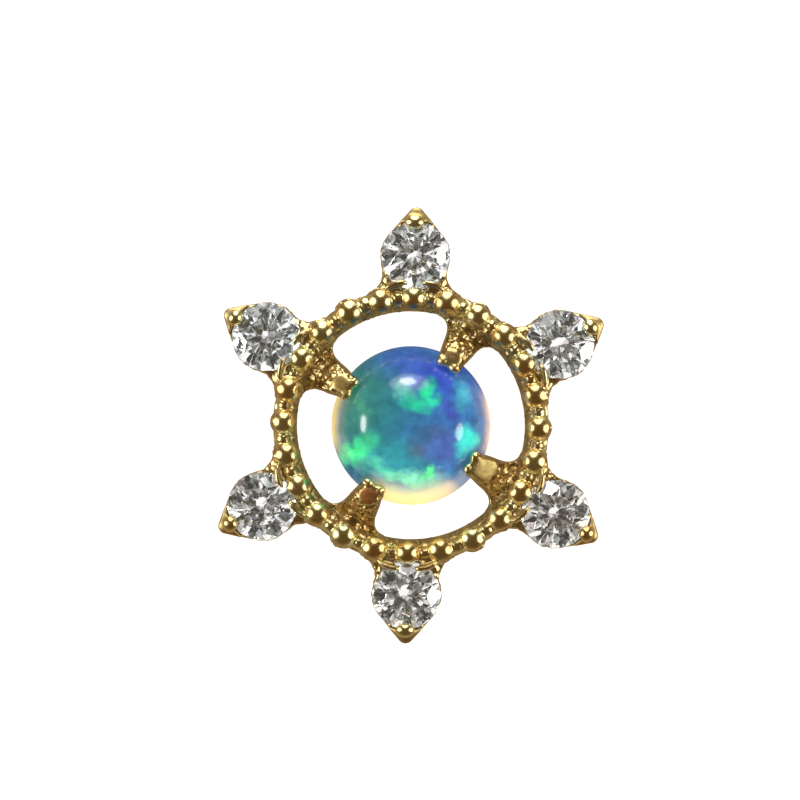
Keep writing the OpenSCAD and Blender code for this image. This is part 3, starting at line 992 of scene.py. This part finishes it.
def play_of_colour(made, place, veil):
    """Dark blue-green body of the opal, with its patches of colour and a fine mottle."""
    flat = wavering(made, place, veil, 0.55)
    colour = ramp(made, noise(made, place, 3.4, 5.0, 0.65), (0.3, 0.7), OPAL_BODY)
    for right, up, wide, tall, turn, share, tint in OPAL_PATCHES:
        inputs = {"Vector": flat, "Location": (right, up, 0), "Scale": (wide, tall, 1)}
        inputs["Rotation"] = (0, 0, math.radians(turn))
        patch = add_node(made, "ShaderNodeMapping", inputs, vector_type="TEXTURE").outputs[0]
        size = vector_math(made, "LENGTH", patch)
        weight = spread(made, size, (0.1, 1.7), (share, 0.0), "SMOOTHSTEP")
        colour = mixed(made, weight, colour, tint)
    mottle = spread(made, noise(made, place, 4.2, 4.0, 0.55), (0.3, 0.7), (0.80, 1.28))
    return vector_math(made, "MULTIPLY", colour, mottle)


def lit_rim(made, colour, place, veil):
    """The opal's colour with the warm light at its thin edge."""
    spoke = wavering(made, place, veil, 0.12)
    radius = vector_math(made, "LENGTH", spoke)
    outward = vector_math(made, "NORMALIZE", spoke)
    for middle, half, start, full, share, tint in OPAL_RIM:
        a = math.radians(middle)
        near = vector_math(made, "DOT_PRODUCT", outward, (math.cos(a), math.sin(a), 0))
        ends = math.cos(math.radians(half)), math.cos(math.radians(half * 0.35))
        window = spread(made, near, ends, (0.0, share), "SMOOTHSTEP")
        band = spread(made, radius, (start, full))
        weight = number_math(made, "MULTIPLY", window, number_math(made, "MULTIPLY", band, band))
        colour = mixed(made, weight, colour, tint)
    return colour


def opal_material():
    """Opal: a dark blue-green body with patches of play of colour, and a thin warm rim, its colour also
    given off as a painted glow.
    """
    made, shader = material("opal")
    place = opal_place(made)
    veil = noise(made, place, 2.6, 3.0, 0.55, "Color")
    veil = vector_math(made, "SUBTRACT", veil, (0.5, 0.5, 0.5))
    colour = lit_rim(made, play_of_colour(made, place, veil), place, veil)
    wear = noise(made, place, 9.0, 3.0)
    feed(made, shader, {
        "Base Color": colour,
        # Painted glow: the opal gives off its own colour, though it is no lamp
        "Emission Color": colour,
        "Emission Strength": 0.5,
        "Roughness": spread(made, wear, (0.35, 0.75), (0.11, 0.17)),
        "Normal": bump(made, wear, strength=0.15, depth=0.004),
        "IOR": 1.6,
    })
    return made


def wear_material(piece, made):
    """The piece has this material and no other."""
    piece.data.materials.clear()
    piece.data.materials.append(made)


def facing(place, target, up):
    """Matrix at place whose -Z looks at the target, with its Y towards up."""
    back = (place - target).normalized()
    right = up.cross(back).normalized()
    above = back.cross(right)
    return Matrix.Translation(place) @ Matrix((right, above, back)).transposed().to_4x4()


def add_camera():
    """Camera that looks straight at the star's face, with the photo's scale and frame."""
    data = bpy.data.cameras.new("camera")
    data.lens = LENS
    data.sensor_width = SENSOR_W
    data.clip_start = 0.001
    data.clip_end = 5
    camera = bpy.data.objects.new("camera", data)
    frame_w = IMAGE_PX / PX_PER_MM
    aim = FRONT - VIEW_RIGHT * (STAR_RIGHT_PX / PX_PER_MM) * MM + VIEW_UP * (STAR_DOWN_PX / PX_PER_MM) * MM
    camera.matrix_world = facing(aim + FACE * frame_w * LENS / SENSOR_W * MM, aim, VIEW_UP)
    bpy.context.scene.collection.objects.link(camera)
    bpy.context.scene.camera = camera


def add_light(name, up_deg, right_deg, width, height, glow):
    """Elliptic area light that no camera sees. Its power follows from its glow and its size."""
    up, right = math.radians(up_deg), math.radians(right_deg)
    way = FACE * math.cos(up) * math.cos(right) + VIEW_UP * math.sin(up)
    way = way + VIEW_RIGHT * math.cos(up) * math.sin(right)
    data = bpy.data.lights.new(name, "AREA")
    data.shape = "ELLIPSE"
    data.size = width * MM
    data.size_y = height * MM
    data.energy = glow * math.pi * math.pi / 4 * width * height * MM * MM
    light = bpy.data.objects.new(name, data)
    light.matrix_world = facing(FRONT + way * LIGHT_AWAY * MM, FRONT, VIEW_UP)
    light.visible_camera = False
    bpy.context.scene.collection.objects.link(light)
    return light


def light_only(lights, pieces, tint):
    """These lights have this tint and reach only these pieces."""
    group = bpy.data.collections.new("lit_by_" + lights[0].name)
    for piece in pieces:
        group.objects.link(piece)
    for light in lights:
        light.data.color = tint
        light.light_linking.receiver_collection = group


def add_floor():
    """Plain pale floor, which reflections don't show."""
    mesh = bpy.data.meshes.new("floor")
    corners = [(-1, -1), (1, -1), (1, 1), (-1, 1)]
    mesh.from_pydata([(x * FLOOR_HALF_M, y * FLOOR_HALF_M, 0) for x, y in corners], [], [(0, 1, 2, 3)])
    floor = bpy.data.objects.new("floor", mesh)
    made, shader = material("pale_floor")
    feed(made, shader, {
        "Base Color": (0.9, 0.9, 0.9, 1),
        "Roughness": 0.9,
        "Emission Color": (1, 1, 1, 1),
        "Emission Strength": 1.0,
    })
    mesh.materials.append(made)
    floor.visible_glossy = False
    bpy.context.scene.collection.objects.link(floor)


def background(world, colour, strength=1.0):
    """Light of this colour from all round."""
    return add_node(world, "ShaderNodeBackground", {"Color": colour, "Strength": strength}).outputs[0]


def glinting(world, way, behind):
    """Room of bright and dark spots with slight hues, dimmer straight in front of the star."""
    spots = noise(world, way, 6.0, 1.0)
    glints = ramp(world, spots, (0.46, 0.62), GLINT_TONES)
    hues = noise(world, way, 4.5, output="Color")
    hued = vector_math(world, "MULTIPLY_ADD", hues, GLINT_HUE_SHARE, GLINT_HUE_BASE)
    strength = spread(world, behind, (-0.97, -0.88), (0.3, 1.0), "SMOOTHSTEP")
    return background(world, vector_math(world, "MULTIPLY", glints, hued), strength)


def set_world():
    """White to the camera, glints to rays of three bounces and more, as in a stone, or else a dim room."""
    world = bpy.data.worlds.new("studio")
    world.use_nodes = True
    world.node_tree.nodes.clear()
    way = add_node(world, "ShaderNodeTexCoord").outputs["Generated"]
    behind = vector_math(world, "DOT_PRODUCT", way, -FACE)
    shade = spread(world, behind, (-0.5, 0.7), kind="SMOOTHSTEP")
    room = background(world, ramp(world, shade, (0.0, 1.0), ROOM_TONES))
    path = add_node(world, "ShaderNodeLightPath")
    deep = number_math(world, "GREATER_THAN", path.outputs["Ray Depth"], DEEP_RAY)
    lit = add_node(world, "ShaderNodeMixShader", {0: deep, 1: room, 2: glinting(world, way, behind)})
    white = background(world, (1, 1, 1, 1))
    seen = add_node(world, "ShaderNodeMixShader",
                    {0: path.outputs["Is Camera Ray"], 1: lit.outputs[0], 2: white})
    add_node(world, "ShaderNodeOutputWorld", {"Surface": seen.outputs[0]})
    bpy.context.scene.world = world
    bpy.context.scene.view_settings.view_transform = "Standard"


add_camera()
add_floor()
set_world()
gem_lights = [add_light(*light) for light in GEM_LIGHTS]
metal_lights = [add_light(*light) for light in METAL_LIGHTS]

gold = gold_material()
stone = stone_material()

star = gold_star()
wear_material(star, gold)
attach(star, "root")
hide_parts("star_frame")

opal = opal_cabochon()
wear_material(opal, opal_material())
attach(opal, "root")
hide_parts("opal")

post = back_post()
wear_material(post, gold)
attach(post, "root")
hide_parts("labret_post")

stones = [frame["nodes"][f"stone_{number}"] for number in range(1, STONE_COUNT + 1)]
for gem in stones:
    wear_material(gem, stone)

light_only(metal_lights, [star, post], METAL_TINT)
light_only(gem_lights, [opal] + stones, GEM_TINT)
